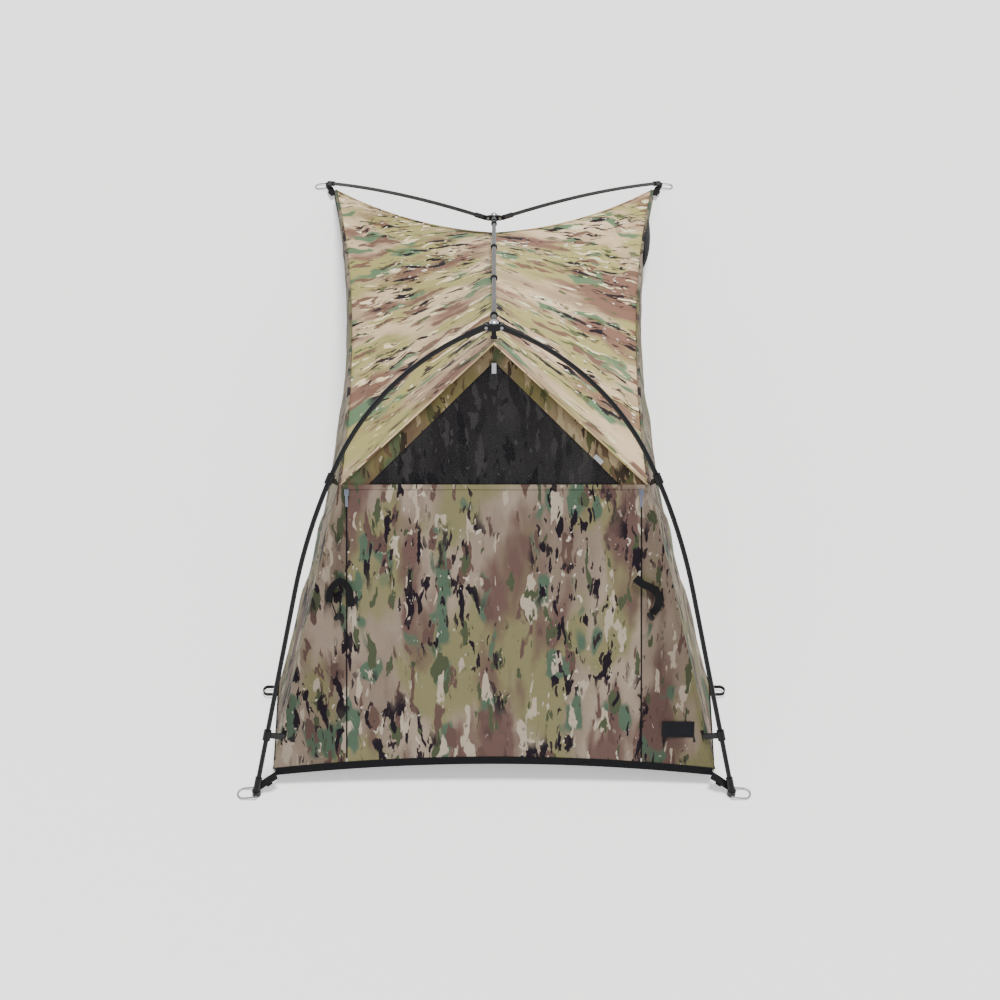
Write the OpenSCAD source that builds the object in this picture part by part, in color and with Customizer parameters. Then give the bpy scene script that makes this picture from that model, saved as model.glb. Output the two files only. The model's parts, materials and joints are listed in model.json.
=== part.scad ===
// Pop-up ground blind: a ridge pole between two hubs, two bowed front legs, two rear legs,
// and a camouflage canopy that hangs under the poles. The front faces -Y and the ground is z = 0.

/* [Footprint] */
// Distance between the left and right feet
foot_span = 1100; // [1000:10:1200]
// Distance from the front feet to the rear feet
base_length = 2460; // [2360:10:2560]

/* [Hubs] */
// Height of the front hub
front_hub_z = 920; // [900:5:940]
// Distance of the front hub behind the front feet
front_hub_back = 580; // [560:5:600]
// Height of the rear hub
rear_hub_z = 375; // [360:5:390]
// Distance of the rear hub in front of the rear feet
rear_hub_ahead = 710; // [690:5:730]
// Distance of each fold pin from the middle of its hub
pin_x = 17; // [16:0.5:18]

/* [Poles] */
// Outer radius of the poles
pole_r = 5.5; // [5:0.25:6]
// Wall thickness of the poles
pole_wall = 0.9; // [0.7:0.1:1.2]
// Outer radius of the hub sockets
socket_r = 7.5; // [7.2:0.1:8]
// Bend radius of a front leg near the hub
crown_bend_r = 590; // [580:5:600]
// Bend radius of a front leg below the shoulder clip
leg_bend_r = 1300; // [1250:10:1350]

/* [Canopy] */
// Thickness of the cloth panels
cloth_t = 1.5; // [1:0.1:2.5]
// Half width of the door at its sill
door_top_x = 328; // [310:1:328]
// Half width of the door at its hem
door_bottom_x = 340; // [326:1:350]
// Height of the door's sill along the front wall
sill_q = 717; // [700:1:725]
// Height of the front hem's corners along the front wall
hem_q = 47; // [40:1:60]
// Rise of the front hem at its middle
hem_rise = 28; // [0:1:40]
// Distance that the side hems are cut in between their peg loops and the rear corners
side_cut = 96; // [60:1:100]
// Distance that the peg loops pull the side hems out
peg_out = 12; // [0:1:20]
// Distance that the rear hem is cut in at its middle
rear_cut = 285; // [240:5:300]

/* [Hidden] */
$fn = 48;

// Main points. x is given for the right-hand side, and the left side is its mirror image.
front_y = -base_length / 2;
rear_y = base_length / 2;
foot_x = foot_span / 2;
front_hub_pt = [0, front_y + front_hub_back, front_hub_z];
rear_hub_pt = [0, rear_y - rear_hub_ahead, rear_hub_z];
ridge_vec = rear_hub_pt - front_hub_pt;
ridge_len = norm(ridge_vec);
ridge_pitch = atan2(-ridge_vec[2], ridge_vec[1]);
leg_lean = atan2(front_hub_back, front_hub_z);
arch_h = norm([front_hub_back, front_hub_z]);
bore_gap = 0.1;
eye_r = 6.5;
eye_half = 8.5;
lug_in = 9;
lug_out = 12;
pin_r = 2;

// Front leg: straight, bend, bend, straight, with each heading in degrees below level.
head_a = 24;
head_b = 64;
head_c = 78;
stub_len = 40;
crown_pt = [pin_x + stub_len * cos(head_a), arch_h - stub_len * sin(head_a)];
bend_pt = crown_pt + crown_bend_r * [sin(head_b) - sin(head_a), cos(head_b) - cos(head_a)];
shin_pt = bend_pt + leg_bend_r * [sin(head_c) - sin(head_b), cos(head_c) - cos(head_b)];
foot_lift = 16;
shin_len = (shin_pt[1] - foot_lift) / sin(head_c);
ankle_pt = shin_pt + shin_len * [cos(head_c), -sin(head_c)];
function arch_point(p) = [p[0], front_y + p[1] * sin(leg_lean), p[1] * cos(leg_lean)];

// Rear leg: straight, one shallow bend in an upright plane, straight.
front_foot_pt = arch_point(ankle_pt);
rear_start = rear_hub_pt + [25, 0, 0];
rear_end = [foot_x, -front_foot_pt[1], foot_lift];
rear_rise = 3.3;
rear_stub = 48;
rear_chord = norm(rear_end - rear_start);
rear_bend_r = (rear_chord / 2 - rear_stub * cos(rear_rise)) / sin(rear_rise);
rear_plan = atan2(rear_end[1] - rear_start[1], rear_end[0] - rear_start[0]);
rear_drop = asin((rear_start[2] - rear_end[2]) / rear_chord);

// Canopy corners, right-hand side.
wall_tilt = 58;
wall_y = front_y + 25;
wall_n = [0, -sin(wall_tilt), cos(wall_tilt)];
function on_wall(x, q) = [x, wall_y + q * cos(wall_tilt), q * sin(wall_tilt)];
brow_apex = front_hub_pt + [0, -22, -27];
ridge_end = rear_hub_pt + [0, -20, -42];
shoulder = on_wall(342, 722);
hem_corner = on_wall(508, hem_q);
mesh_apex_q = 1010;
mesh_x = 285;
eave_end = [516, rear_y - 102, 50];
hem_end = [524, rear_y - 84, 14];
eave_cut = 36;
roof_sink = 14;
seam_gap = 3;
grid_n = 12;

function mix(a, b, t) = a + (b - a) * t;
function hump(t) = 4 * t * (1 - t);
function eave(t) = mix(shoulder, eave_end, t) - [eave_cut, 0, 0] * hump(t);
peg_t = 0.11;
peg_pt = [mix(hem_corner[0], hem_end[0], peg_t) + peg_out, mix(hem_corner[1], hem_end[1], peg_t), 22];
function side_hem(t) = t < peg_t ? mix(hem_corner, peg_pt, t / peg_t)
    : let(s = (t - peg_t) / (1 - peg_t)) mix(peg_pt, hem_end, s) - [side_cut, 0, -8] * hump(s);
function front_hem_q(x) = hem_q + hem_rise * (1 - pow(x / hem_corner[0], 2));
function roof_pt(t, v) = mix(mix(brow_apex, ridge_end, t), eave(t) + [-2, 0, seam_gap], v)
    - [0, 30, 12] * hump(v) * pow(t, 3) - [0, 0, roof_sink] * hump(v) * sin(180 * t);
function wall_pt(t, v) = mix(eave(t) - [0, 0, seam_gap], side_hem(t) + [0, 0, seam_gap], v);
function rear_hem_pt(x, z) = [x, hem_end[1] - rear_cut * (1 - pow(abs(x) / hem_end[0], 1.5)), z];
function rear_pt(t, v) = let(x = 2 * t - 1, top = roof_pt(1, abs(x)))
    mix([sign(x) * top[0], top[1] + 6, top[2] - 6], rear_hem_pt(x * (hem_end[0] - 10), 18), v);

// Closed thin solid between a grid of points and the same grid moved by an offset.
module thin_sheet(grid, offset) {
    rows = len(grid);
    cols = len(grid[0]);
    n = rows * cols;
    pts = concat([for (r = grid) each r], [for (r = grid) each [for (p = r) p + offset]]);
    function at(i, j) = i * cols + j;
    faces = concat(
        [for (i = [0 : rows - 2], j = [0 : cols - 2]) each
            [[at(i, j), at(i, j + 1), at(i + 1, j + 1)], [at(i, j), at(i + 1, j + 1), at(i + 1, j)]]],
        [for (i = [0 : rows - 2], j = [0 : cols - 2]) each
            [[n + at(i, j), n + at(i + 1, j + 1), n + at(i, j + 1)],
             [n + at(i, j), n + at(i + 1, j), n + at(i + 1, j + 1)]]],
        [for (j = [0 : cols - 2]) each
            [[at(0, j), n + at(0, j + 1), at(0, j + 1)], [at(0, j), n + at(0, j), n + at(0, j + 1)],
             [at(rows - 1, j), at(rows - 1, j + 1), n + at(rows - 1, j + 1)],
             [at(rows - 1, j), n + at(rows - 1, j + 1), n + at(rows - 1, j)]]],
        [for (i = [0 : rows - 2]) each
            [[at(i, 0), at(i + 1, 0), n + at(i + 1, 0)], [at(i, 0), n + at(i + 1, 0), n + at(i, 0)],
             [at(i, cols - 1), n + at(i + 1, cols - 1), at(i + 1, cols - 1)],
             [at(i, cols - 1), n + at(i, cols - 1), n + at(i + 1, cols - 1)]]]);
    polyhedron(pts, faces);
}

// Frames that the sub-parts are drawn in
module on_side(side) { mirror([side < 0 ? 1 : 0, 0, 0]) children(); }
module at_hub(p) { translate(p) rotate([-ridge_pitch, 0, 0]) children(); }
module in_arch() { translate([0, front_y, 0]) rotate([-leg_lean, 0, 0]) children(); }
module in_wall() { translate([0, wall_y, 0]) rotate([wall_tilt, 0, 0]) children(); }
module along(from, to) {
    d = to - from;
    translate(from) rotate([0, acos(d[2] / norm(d)), atan2(d[1], d[0])]) children();
}
module tube(r, wall, h) {
    difference() {
        cylinder(r = r, h = h);
        translate([0, 0, -1]) cylinder(r = r - wall, h = h + 2);
    }
}
// A rod or tube in the arch plane, from a point, along a heading below level
module arch_run(pt, heading) {
    in_arch() translate([pt[0], 0, pt[1]]) rotate([0, 90 + heading, 0]) children();
}
// A bent tube in the arch plane, from one heading to the next
module arch_bend(pt, r, h0, h1) {
    centre = pt - r * [sin(h0), cos(h0)];
    in_arch() translate([centre[0], 0, centre[1]]) rotate([90, 0, 0]) rotate([0, 0, 90 - h1])
        rotate_extrude(angle = h1 - h0, $fn = 180) translate([r, 0]) difference() {
            circle(r = pole_r, $fn = 32);
            circle(r = pole_r - pole_wall, $fn = 32);
        }
}
function shin_at(l) = shin_pt + l * [cos(head_c), -sin(head_c)];
// The leg's point at a heading within the lower bend
function leg_bend_at(h) = bend_pt + leg_bend_r * [sin(h) - sin(head_b), cos(h) - cos(head_b)];

// Hubs
module hub_block(dir, outer_lug) {
    block_x = 9.5;
    difference() {
        union() {
            translate([-block_x, -lug_out, -8]) cube([2 * block_x, 2 * lug_out, 16]);
            for (side = [-1, 1], end = [-1, 1])
                hull() {
                    reach = end == dir ? 4.5 : outer_lug;
                    translate([side * pin_x, end > 0 ? lug_in : -lug_out, 0]) rotate([-90, 0, 0])
                        cylinder(r = reach, h = lug_out - lug_in);
                    translate([side * 8 - 1, end > 0 ? lug_in : -lug_out, -7])
                        cube([2, lug_out - lug_in, 14]);
                }
        }
        for (side = [-1, 1])
            translate([side * pin_x, 0, 0]) rotate([90, 0, 0])
                cylinder(r = pin_r + 0.05, h = 40, center = true);
    }
}
module ridge_sleeve(dir) {
    translate([0, dir * lug_out, 0]) rotate([-90 * dir, 0, 0])
        tube(socket_r, socket_r - pole_r - bore_gap, 48);
}
module front_hub() {
    color("#26282b") at_hub(front_hub_pt) hub_block(-1, 7);
    color("#8c9094") at_hub(front_hub_pt) ridge_sleeve(1);
}
module rear_hub() {
    color("#26282b") at_hub(rear_hub_pt) hub_block(1, 7);
    color("#8c9094") at_hub(rear_hub_pt) ridge_sleeve(-1);
}
module hub_cap() {
    cap_r = 11;
    translate([0, 0, 8.1]) intersection() {
        translate([0, 0, -4]) sphere(r = cap_r);
        translate([-cap_r, -cap_r, 0]) cube(2 * cap_r);
    }
}
module front_hub_cap() { color("#d9dcdf") at_hub(front_hub_pt) hub_cap(); }
module rear_hub_cap() { color("#8c9094") at_hub(rear_hub_pt) hub_cap(); }
module hub_pins() {
    for (side = [-1, 1])
        translate([side * pin_x, -lug_out - 1.5, 0]) rotate([-90, 0, 0]) {
            cylinder(r = pin_r, h = 2 * lug_out + 3);
            for (z = [-1.2, 2 * lug_out + 2.4]) translate([0, 0, z]) cylinder(r = pin_r + 1.5, h = 1.8);
        }
}
module front_hub_pins() { color("#b8bcc0") at_hub(front_hub_pt) hub_pins(); }
module rear_hub_pins() { color("#b8bcc0") at_hub(rear_hub_pt) hub_pins(); }
// Hanger under the front hub that holds the peak of the canopy
module apex_hook() {
    color("#1b1c1e") at_hub(front_hub_pt) {
        translate([-5, -4, -24]) cube([10, 8, 15.9]);
        translate([0, 0, -24]) rotate([0, 90, 0]) cylinder(r = 4, h = 14, center = true);
    }
}
module ridge_pole() {
    end_gap = 2;
    color("#303236") at_hub(front_hub_pt) translate([0, lug_out + end_gap, 0]) rotate([-90, 0, 0])
        tube(pole_r, pole_wall, ridge_len - 2 * lug_out - 2 * end_gap);
}
// Clips that carry the canopy's ridge seam on the ridge pole
module ridge_clip() {
    clip_places = [100, 480, 860, 1190];
    color("#1b1c1e") at_hub(front_hub_pt) for (l = clip_places) translate([0, l, 0]) rotate([-90, 0, 0]) {
        tube(pole_r + 3, 2.9, 14);
        translate([-3, pole_r + 2, 0]) cube([6, 17, 14]);
    }
}

// Leg sockets: an eye on the fold pin, a web and a sleeve
module front_socket() {
    color("#1b1c1e") difference() {
        union() {
            at_hub(front_hub_pt) translate([pin_x, 0, 0]) rotate([90, 0, 0])
                cylinder(r = eye_r, h = 2 * eye_half, center = true);
            arch_run([pin_x, arch_h], head_a) cylinder(r = socket_r, h = stub_len + 8);
        }
        at_hub(front_hub_pt) translate([pin_x, 0, 0]) rotate([90, 0, 0])
            cylinder(r = pin_r + 0.05, h = 60, center = true);
        arch_run([pin_x, arch_h], head_a) translate([0, 0, 12]) cylinder(r = pole_r + bore_gap, h = 60);
        at_hub(front_hub_pt) translate([-40 + pin_x - eye_r, -20, -20]) cube([40, 40, 40]);
    }
}
module rear_socket() {
    color("#1b1c1e") difference() {
        union() {
            at_hub(rear_hub_pt) translate([pin_x, 0, 0]) rotate([90, 0, 0])
                cylinder(r = eye_r, h = 2 * eye_half, center = true);
            at_hub(rear_hub_pt) translate([pin_x, -eye_half, -5]) cube([12, 2 * eye_half - 1, 10]);
            rear_hub_run(0) cylinder(r = socket_r, h = rear_stub);
        }
        at_hub(rear_hub_pt) translate([pin_x, 0, 0]) rotate([90, 0, 0])
            cylinder(r = pin_r + 0.05, h = 60, center = true);
        rear_hub_run(12) cylinder(r = pole_r + bore_gap, h = 60);
        at_hub(rear_hub_pt) translate([-40 + pin_x - eye_r, -30, -20]) cube([40, 60, 40]);
        at_hub(rear_hub_pt) translate([0, lug_in - 0.4, -20]) cube([pin_x + 5.5, 10, 40]);
    }
}
// Frame with X along the rear leg's chord, and Z up
module in_rear_leg() {
    translate(rear_start) rotate([0, 0, rear_plan]) rotate([0, rear_drop, 0]) children();
}
// A rod or tube at the leg's hub end, outward, or at its foot end, back up the leg
module rear_hub_run(l) {
    in_rear_leg() rotate([0, 90 - rear_rise, 0]) translate([0, 0, l]) children();
}
module rear_foot_run(l) {
    in_rear_leg() translate([rear_chord, 0, 0]) rotate([0, rear_rise - 90, 0])
        translate([0, 0, l]) children();
}

// Poles, whose straight and bent stretches are drawn apart by bend_gap
hub_gap = 14;
bend_gap = 0.05;
lower_start = head_b + 0.02;
module front_upper_pole() {
    color("#202226") {
        arch_run([pin_x, arch_h], head_a) translate([0, 0, hub_gap])
            tube(pole_r, pole_wall, stub_len - hub_gap - bend_gap);
        arch_bend(crown_pt, crown_bend_r, head_a, head_b);
    }
}
module front_lower_pole() {
    color("#202226") {
        arch_bend(leg_bend_at(lower_start), leg_bend_r, lower_start, head_c);
        arch_run(shin_pt, head_c) translate([0, 0, bend_gap]) tube(pole_r, pole_wall, shin_len - 6);
    }
}
module rear_pole() {
    foot_gap = 8;
    color("#202226") {
        rear_hub_run(hub_gap) tube(pole_r, pole_wall, rear_stub - hub_gap - bend_gap);
        bend_z = rear_stub * sin(rear_rise) - rear_bend_r * cos(rear_rise);
        in_rear_leg() translate([rear_chord / 2, 0, bend_z])
            rotate([90, 0, 0]) rotate([0, 0, 90 - rear_rise]) rotate_extrude(angle = 2 * rear_rise, $fn = 360)
                translate([rear_bend_r, 0]) difference() {
                    circle(r = pole_r, $fn = 32);
                    circle(r = pole_r - pole_wall, $fn = 32);
                }
        rear_foot_run(foot_gap) tube(pole_r, pole_wall, rear_stub - foot_gap - bend_gap);
    }
}

// Clips between the front legs and the canopy
module leg_clip(pt, heading, strap_to, strap) {
    p = arch_point(pt);
    clip_len = 24;
    color("#1b1c1e") {
        arch_run(pt, heading) translate([0, 0, -clip_len / 2]) tube(pole_r + 3.4, 3.3, clip_len);
        difference() {
            along(p + (strap_to - p) * (pole_r + 2) / norm(strap_to - p), strap_to)
                translate([-strap[0] / 2, -strap[1] / 2, 0])
                    cube([strap[0], strap[1], norm(strap_to - p) - pole_r - 2]);
            arch_run(pt, heading) translate([0, 0, -30]) cylinder(r = pole_r + 0.4, h = 60);
        }
    }
}
shoulder_pt = leg_bend_at(66);
hem_clip_pt = shin_at(shin_len - 138);
module front_shoulder_clip() { leg_clip(shoulder_pt, 66, shoulder + wall_n * 4 + [6, 0, 4], [3, 18]); }
// The lower clip's strap ends on a tab on the wing
module front_hem_clip() {
    tab = [470, 128];
    leg_clip(hem_clip_pt, head_c, on_wall(tab[0] + 12, tab[1]) + wall_n * 5, [18, 3]);
    color("#1b1c1e") in_wall() translate([tab[0] - 12, tab[1] - 14, 0.3]) cube([24, 28, 2]);
}

// Feet with a cross bore for the peg ring
ring_z = 7;
ring_wire = 2;
foot_r = 10;
module foot_body(p, from) {
    difference() {
        union() {
            translate([p[0], p[1], 0]) cylinder(r = foot_r, h = 14);
            along([p[0], p[1], 12], from) cylinder(r = pole_r + 2.5, h = 34);
        }
        along(p, from) translate([0, 0, 5]) cylinder(r = pole_r + bore_gap, h = 60);
        translate([p[0], p[1], ring_z]) rotate([90, 0, 0])
            cylinder(r = ring_wire + 0.1, h = 60, center = true);
    }
}
module front_foot() {
    color("#1b1c1e") foot_body(front_foot_pt, arch_point(shin_pt));
}
module rear_foot() {
    color("#1b1c1e") difference() {
        union() {
            translate([rear_end[0], rear_end[1], 0]) cylinder(r = foot_r, h = 14);
            rear_foot_run(4) cylinder(r = pole_r + 2.5, h = 34);
        }
        rear_foot_run(7) cylinder(r = pole_r + bore_gap, h = 60);
        translate([rear_end[0], rear_end[1], ring_z]) rotate([90, 0, 0])
            cylinder(r = ring_wire + 0.1, h = 60, center = true);
    }
}
// D-shaped peg ring: a bar through the foot and a round loop outward
module peg_ring(p) {
    loop_r = 14;
    reach = 30;
    color("#8c9094") translate([p[0], p[1], ring_z]) rotate([0, 7, 0]) {
        rotate([90, 0, 0]) cylinder(r = ring_wire - 0.05, h = 2 * loop_r, center = true);
        for (side = [-1, 1]) translate([0, side * loop_r, 0]) {
            rotate([0, 90, 0]) cylinder(r = ring_wire, h = reach);
            sphere(r = ring_wire);
        }
        translate([reach, 0, 0]) rotate([0, 0, -90]) rotate_extrude(angle = 180)
            translate([loop_r, 0]) circle(r = ring_wire);
    }
}
// Webbing strap between a canopy corner and its foot
module corner_strap(from, to) {
    color("#141516") along(from, to) {
        translate([-1, -10, 0]) cube([2, 20, norm(to - from)]);
        translate([1.1, -12, norm(to - from) * 0.35]) cube([3.5, 24, 14]);
    }
}
module front_corner_strap() {
    corner_strap(hem_corner + [-6, -14, -4], front_foot_pt + [-6, 13, -1]);
}
module rear_corner_strap() {
    corner_strap(hem_end + [4, 5, 2], rear_end + [-5, -19, -3]);
}

// Cloth panels
module roof_panel() {
    color("#a0946c") thin_sheet(
        [for (i = [0 : grid_n]) [for (j = [0 : 6]) roof_pt(i / grid_n, 0.01 + 0.98 * j / 6)]],
        [0, 0, -cloth_t]);
}
module side_wall() {
    color("#8e8660") thin_sheet(
        [for (i = [0 : grid_n]) [for (j = [0 : 4]) wall_pt(0.012 + 0.98 * i / grid_n, j / 4)]],
        [-cloth_t, 0, 0]);
}
module rear_panel() {
    color("#8e8660") thin_sheet(
        [for (i = [0 : 16]) [for (j = [0 : 4]) rear_pt(0.006 + 0.988 * (16 - i) / 16, 0.02 + 0.96 * j / 4)]],
        [0, -cloth_t, 0]);
}
module wall_sheet(points) {
    in_wall() translate([0, 0, -cloth_t]) linear_extrude(cloth_t) polygon(points);
}
hem_steps = 8;
module door_panel() {
    inset = 8;
    color("#988c66") wall_sheet(concat(
        [[-door_top_x + inset, sill_q - 2], [door_top_x - inset, sill_q - 2]],
        [for (i = [0 : hem_steps]) let(x = (door_bottom_x - inset) * (1 - 2 * i / hem_steps))
            [x, front_hem_q(x)]]));
}
module front_wing() {
    inset = 8;
    color("#988c66") wall_sheet(concat(
        [[door_top_x + inset, sill_q - 2], [shoulder[0] - 4, 718], [hem_corner[0] - 4, hem_q]],
        [for (i = [0 : 3]) let(x = mix(hem_corner[0] - 12, door_bottom_x + inset, i / 3))
            [x, front_hem_q(x)]]));
}
module window_surround() {
    color("#7d7550") for (side = [-1, 1]) scale([side, 1, 1]) wall_sheet([
        [1, mesh_apex_q + 14], [shoulder[0] - 6, sill_q + 2], [mesh_x + 13, sill_q + 2],
        [1, mesh_apex_q - 2]]);
}
module window_mesh() {
    color("#24252a") wall_sheet([
        [0, mesh_apex_q - 22], [mesh_x - 10, sill_q + 2], [-mesh_x + 10, sill_q + 2]]);
}
// Zip tapes run along the panel gaps
module zip_tape(a, b, w) {
    len = norm(b - a);
    in_wall() translate([a[0], a[1], -cloth_t]) rotate([0, 0, atan2(b[1] - a[1], b[0] - a[0])])
        translate([0, -w / 2, 0]) cube([len, w, cloth_t]);
}
door_zip_top = [door_top_x, sill_q - 4];
door_zip_bottom = [door_bottom_x, hem_q + 26];
module door_zip() { color("#1f2022") zip_tape(door_zip_bottom, door_zip_top, 11); }
window_zip_top = [0, mesh_apex_q - 12];
window_zip_low = [mesh_x, sill_q + 10];
module window_zip() {
    color("#1f2022") for (side = [-1, 1]) scale([side, 1, 1])
        zip_tape(window_zip_low, window_zip_top + [5, -5], 6);
}
// Bound hems
module front_hem() {
    n = 16;
    x_end = hem_corner[0] - 2;
    color("#17181a") thin_sheet(
        [for (i = [0 : n]) let(x = x_end * (2 * i / n - 1))
            [for (j = [0, 1]) on_wall(x, front_hem_q(x) - 1 - 15 * j)]],
        wall_n * -2.4);
}
module side_hem_binding() {
    color("#17181a") thin_sheet(
        [for (i = [0 : grid_n])
            [for (j = [0, 1]) side_hem(0.01 + 0.985 * i / grid_n) + [0, 0, 1.5 - 14 * j]]],
        [-2.4, 0, 0]);
}
module rear_hem() {
    n = 20;
    x_end = hem_end[0] - 12;
    color("#17181a") thin_sheet(
        [for (i = [0 : n]) let(x = x_end * (1 - 2 * i / n)) [for (j = [0, 1]) rear_hem_pt(x, 17 - 16 * j)]],
        [0, -2.4, 0]);
}
// Webbing band that ties the rolled door back: it hangs over the zip from a tab, with a toggle below
module tieback() {
    band_r = 19;
    band_w = 14;
    leg = 26;
    band_z = 9.2;
    color("#141516") in_wall() translate([door_bottom_x + 5, 478, 0]) {
        translate([0, 0, band_z]) linear_extrude(2.2) {
            difference() {
                circle(r = band_r + band_w / 2);
                circle(r = band_r - band_w / 2);
                translate([-40, -80]) square(80);
            }
            for (side = [-1, 1]) translate([side * band_r - band_w / 2, -leg]) square([band_w, leg + 0.1]);
        }
        translate([band_r - 4, -8, 0.3]) cube([12, 16, band_z - 0.4]);
        translate([band_r - 10, -leg - 20, 5.5]) rotate([0, 90, 0]) cylinder(r = 5, h = 22);
    }
}
// Ground loop on the side hem: webbing on edge, open upwards for a peg
module peg_loop() {
    loop_r = 13;
    loop_reach = 26;
    band_t = 2.5;
    color("#141516") translate([peg_pt[0] + 0.6, peg_pt[1], 0]) {
        translate([0, -16, 6]) cube([3, 32, 16]);
        translate([0, 0, 5]) linear_extrude(9) difference() {
            hull() {
                translate([1, -loop_r]) square([1, 2 * loop_r]);
                translate([loop_reach, 0]) circle(r = loop_r);
            }
            hull() {
                translate([2.9, band_t - loop_r]) square([1, 2 * (loop_r - band_t)]);
                translate([loop_reach, 0]) circle(r = loop_r - band_t);
            }
        }
    }
}
// Zip sliders with a hanging pull
module slider_body(pull_len, pull_w) {
    translate([-5, -7, 0.4]) cube([10, 14, 5]);
    translate([-1.5, -3, 5.4]) cube([3, 8, 2.6]);
    translate([-pull_w / 2, -2 - pull_len, 5.9]) cube([pull_w, pull_len, 1.6]);
}
module door_slider() {
    color("#9a9fa8") in_wall() translate([door_zip_top[0], door_zip_top[1] - 10, 0]) slider_body(30, 6);
}
module window_slider(place, turn) {
    color("#d9dcdf") in_wall() translate([place[0], place[1], 0]) rotate([0, 0, turn]) slider_body(14, 10);
}
module apex_window_slider() { window_slider(window_zip_top - [0, 12], 0); }
module lower_window_slider() {
    d = window_zip_top - window_zip_low;
    window_slider(mix(window_zip_top, window_zip_low, 0.8), atan2(-d[0], d[1]));
}

front_hub();
rear_hub();
front_hub_cap();
rear_hub_cap();
front_hub_pins();
rear_hub_pins();
apex_hook();
ridge_pole();
ridge_clip();
on_side(-1) roof_panel();  // roof_left
on_side(1) roof_panel();  // roof_right
rear_panel();
door_panel();
window_surround();
window_mesh();
front_hem();
rear_hem();
window_zip();
on_side(-1) front_socket();  // front_left_socket
on_side(1) front_socket();  // front_right_socket
on_side(-1) front_upper_pole();  // front_left_upper_pole
on_side(1) front_upper_pole();  // front_right_upper_pole
on_side(-1) front_lower_pole();  // front_left_lower_pole
on_side(1) front_lower_pole();  // front_right_lower_pole
on_side(-1) front_shoulder_clip();  // front_left_shoulder_clip
on_side(1) front_shoulder_clip();  // front_right_shoulder_clip
on_side(-1) front_hem_clip();  // front_left_hem_clip
on_side(1) front_hem_clip();  // front_right_hem_clip
on_side(-1) front_foot();  // front_left_foot
on_side(1) front_foot();  // front_right_foot
on_side(-1) front_corner_strap();  // front_left_corner_strap
on_side(1) front_corner_strap();  // front_right_corner_strap
on_side(-1) rear_socket();  // rear_left_socket
on_side(1) rear_socket();  // rear_right_socket
on_side(-1) rear_pole();  // rear_left_pole
on_side(1) rear_pole();  // rear_right_pole
on_side(-1) rear_foot();  // rear_left_foot
on_side(1) rear_foot();  // rear_right_foot
on_side(-1) rear_corner_strap();  // rear_left_corner_strap
on_side(1) rear_corner_strap();  // rear_right_corner_strap
on_side(-1) side_wall();  // left_wall
on_side(1) side_wall();  // right_wall
on_side(-1) front_wing();  // left_front_wing
on_side(1) front_wing();  // right_front_wing
on_side(-1) side_hem_binding();  // left_hem
on_side(1) side_hem_binding();  // right_hem
on_side(-1) door_zip();  // left_door_zip
on_side(1) door_zip();  // right_door_zip
on_side(-1) tieback();  // left_tieback
on_side(1) tieback();  // right_tieback
on_side(-1) peg_loop();  // left_peg_loop
on_side(1) peg_loop();  // right_peg_loop
on_side(-1) peg_ring(front_foot_pt);  // front_left_peg_ring
on_side(1) peg_ring(front_foot_pt);  // front_right_peg_ring
on_side(-1) peg_ring(rear_end);  // rear_left_peg_ring
on_side(1) peg_ring(rear_end);  // rear_right_peg_ring
on_side(-1) door_slider();  // left_door_slider
on_side(1) door_slider();  // right_door_slider
apex_window_slider();
lower_window_slider();
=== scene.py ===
import json
import math

import bpy
import numpy as np
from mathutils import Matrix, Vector


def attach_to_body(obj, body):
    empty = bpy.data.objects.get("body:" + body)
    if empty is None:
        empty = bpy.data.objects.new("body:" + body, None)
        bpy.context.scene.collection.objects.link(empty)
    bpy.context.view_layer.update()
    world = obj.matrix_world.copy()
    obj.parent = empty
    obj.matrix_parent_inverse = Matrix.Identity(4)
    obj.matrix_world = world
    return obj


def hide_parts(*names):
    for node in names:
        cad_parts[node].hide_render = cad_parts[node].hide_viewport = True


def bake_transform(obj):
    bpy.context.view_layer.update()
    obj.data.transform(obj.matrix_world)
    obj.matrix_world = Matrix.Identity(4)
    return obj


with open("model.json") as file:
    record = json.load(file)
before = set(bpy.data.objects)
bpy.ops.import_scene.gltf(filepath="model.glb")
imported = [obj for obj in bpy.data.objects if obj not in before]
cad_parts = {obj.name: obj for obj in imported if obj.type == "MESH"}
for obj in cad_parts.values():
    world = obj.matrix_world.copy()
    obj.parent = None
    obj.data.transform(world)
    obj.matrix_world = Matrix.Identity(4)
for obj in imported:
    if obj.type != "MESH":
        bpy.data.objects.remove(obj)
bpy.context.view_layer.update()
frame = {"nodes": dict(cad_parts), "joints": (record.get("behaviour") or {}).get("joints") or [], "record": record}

JOINTS = {j["name"]: j for j in frame["joints"]}
SLOT_OF = {s["node"]: s["material_slot"] for s in frame["record"]["subparts"]}
SIDES = (("left", -1), ("right", 1))

# ---------------------------------------------------------------- canopy shape, metres, right-hand side
HUB = np.array([0.0, *JOINTS["fold_right"]["pos_m"][1:]])
TILT = math.radians(58)
WALL_Y = -1.205
WALL_N = np.array([0, -math.sin(TILT), math.cos(TILT)])
CLOTH = 0.0012


def on_wall(x, q, out=0.0):
    """Points on the front wall: x from the middle, q up the wall from the ground, out along its normal."""
    x, q, out = np.broadcast_arrays(np.asarray(x, float), np.asarray(q, float), np.asarray(out, float))
    flat = np.stack([x, WALL_Y + q * math.cos(TILT), q * math.sin(TILT)], -1)
    return flat + out[..., None] * WALL_N


UP_WALL = on_wall(0, 1) - on_wall(0, 0)

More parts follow.
